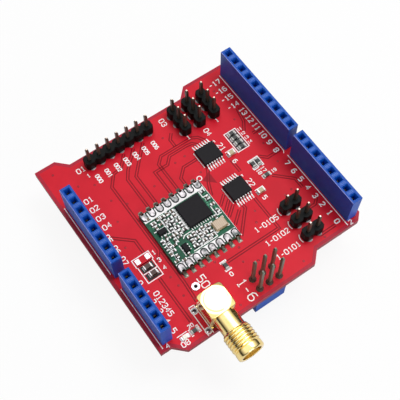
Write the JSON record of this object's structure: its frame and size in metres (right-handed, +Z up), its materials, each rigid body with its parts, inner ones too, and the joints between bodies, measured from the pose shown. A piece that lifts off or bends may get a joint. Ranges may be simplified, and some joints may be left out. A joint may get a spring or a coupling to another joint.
{
  "type": "radio shield module",
  "caption": "Radio module shield: stepped circuit board with pass-through pin sockets, jumper headers, a castellated radio board and a right-angle antenna connector.",
  "frame": {"origin": "under the middle of the whole part, level with the tips of the socket tails", "axes": "+X along the socket rows towards the antenna connector's mouth, +Y across the board towards the digital sockets, +Z up out of the board's top face"},
  "size_m": [0.062, 0.0534, 0.0208],
  "materials": {
    "board_red": "glossy solder mask on fibreglass",
    "socket_blue": "moulded",
    "header_black": "moulded",
    "pin_tin": "tinned",
    "pin_gold": "gold plated",
    "solder": "satin",
    "radio_green": "solder mask on fibreglass",
    "chip_black": "moulded",
    "crystal_ceramic": "ceramic",
    "crystal_metal": "satin",
    "ceramic_tan": "ceramic",
    "resistor_black": "glazed",
    "speck_mixed": "ceramic",
    "lamp_white": "moulded",
    "lamp_clear": "clear",
    "connector_gold": "gold plated, polished",
    "insulator_white": "smooth"
  },
  "bodies": {
    "root": {"analog_contacts": "pin_tin", "analog_socket": "socket_blue", "antenna_body": "connector_gold", "antenna_cap": "connector_gold", "antenna_contact": "pin_gold", "antenna_insulator": "insulator_white", "antenna_solder": "solder", "capacitor_bodies": "ceramic_tan", "capacitor_ends": "solder", "crystal_base": "crystal_ceramic", "crystal_lid": "crystal_metal", "digital_long_contacts": "pin_tin", "digital_long_socket": "socket_blue", "digital_short_contacts": "pin_tin", "digital_short_socket": "socket_blue", "feed_pad": "solder", "header_solder": "solder", "left_logic_chip": "chip_black", "left_logic_leads": "solder", "link_0_header": "header_black", "link_0_pins": "pin_gold", "link_1_header": "header_black", "link_1_pins": "pin_gold", "link_2_header": "header_black", "link_2_pins": "pin_gold", "main_board": "board_red", "open_link_pads": "solder", "power_contacts": "pin_tin", "power_lamp_base": "lamp_white", "power_lamp_dome": "lamp_clear", "power_lamp_ends": "solder", "power_socket": "socket_blue", "radio_board": "radio_green", "radio_chip": "chip_black", "radio_filter_chip": "chip_black", "radio_pads": "solder", "radio_part_bodies": "speck_mixed", "radio_part_ends": "solder", "radio_solder": "solder", "radio_switch_chip": "chip_black", "resistor_bodies": "resistor_black", "resistor_ends": "solder", "right_logic_chip": "chip_black", "right_logic_leads": "solder", "select_0_header": "header_black", "select_0_pins": "pin_gold", "select_1_header": "header_black", "select_1_pins": "pin_gold", "select_2_header": "header_black", "select_2_pins": "pin_gold", "side_header": "header_black", "side_pins": "pin_gold", "socket_solder": "solder", "spare_hole_rings": "solder", "under_socket": "socket_blue", "under_socket_pins": "pin_tin", "under_socket_solder": "solder"}
  },
  "joints": []
}
